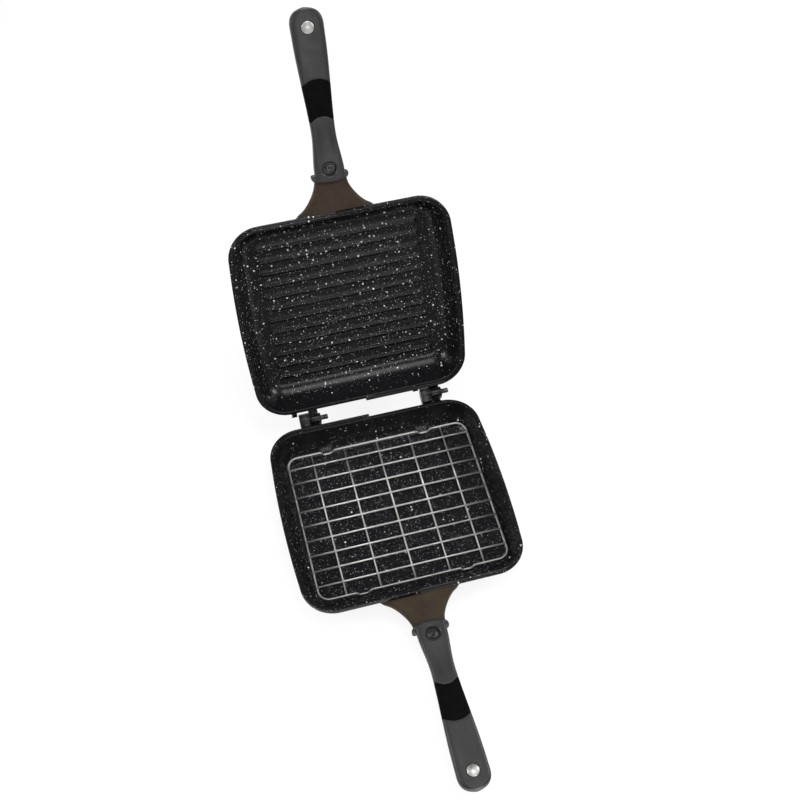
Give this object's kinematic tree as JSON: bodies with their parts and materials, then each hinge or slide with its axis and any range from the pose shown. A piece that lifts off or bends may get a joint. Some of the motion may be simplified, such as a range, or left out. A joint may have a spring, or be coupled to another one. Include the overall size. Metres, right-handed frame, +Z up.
{
  "type": "double sided flip pan",
  "caption": "Hinged double pan: two rounded square halves with interlocking rims, ribs in the upper one, a long handle with a magnet on each, slide-on hinges and a wire rack in the lower half.",
  "frame": {"origin": "centre of the flat base of the lower half, on the surface that the pan stands on", "axes": "+X along the hinge axis towards the free ends of the hinge pins, +Y from the lower handle towards the hinge and the upper half, +Z up; the pan is stored open, with the upper half leaning back on its stop"},
  "size_m": [0.264, 0.7078, 0.4568],
  "materials": {
    "coated_casting": "speckled non-stick coating inside, brown-black satin enamel outside",
    "handle_grey": "satin moulded phenolic",
    "sleeve_black": "satin",
    "blackened_steel": "black oxide, satin, rubbed paler on the edges",
    "bright_steel": "bright",
    "plated_magnet": "nickel plated, satin",
    "rack_chrome": "chrome plated"
  },
  "bodies": {
    "lower_half": {"lower_pan": "coated_casting", "lower_collar": "handle_grey", "lower_handle": "handle_grey", "lower_sleeve": "sleeve_black", "lower_screw": "blackened_steel", "lower_washer": "blackened_steel", "lower_nut": "bright_steel", "lower_magnet": "plated_magnet", "lower_keeper": "bright_steel", "left_hinge_pin": "blackened_steel", "right_hinge_pin": "blackened_steel"},
    "upper_half": {"upper_pan": "coated_casting", "upper_collar": "handle_grey", "upper_handle": "handle_grey", "upper_sleeve": "sleeve_black", "upper_screw": "blackened_steel", "upper_washer": "blackened_steel", "upper_nut": "bright_steel", "upper_magnet": "plated_magnet", "upper_keeper": "bright_steel"},
    "rack": {"rack_frame": "rack_chrome", "rack_long_wires": "rack_chrome", "rack_cross_wires": "rack_chrome"}
  },
  "joints": [
    {"name": "pan_hinge", "type": "hinge", "parent": "lower_half", "child": "upper_half", "pos_m": [0, 0.1317, 0.039], "axis": [1, 0, 0], "range_deg": [0, 117.9]},
    {"name": "rack_lift", "type": "slide", "parent": "lower_half", "child": "rack", "axis": [0, 0, 1], "range_m": [0, 0.025]}
  ]
}
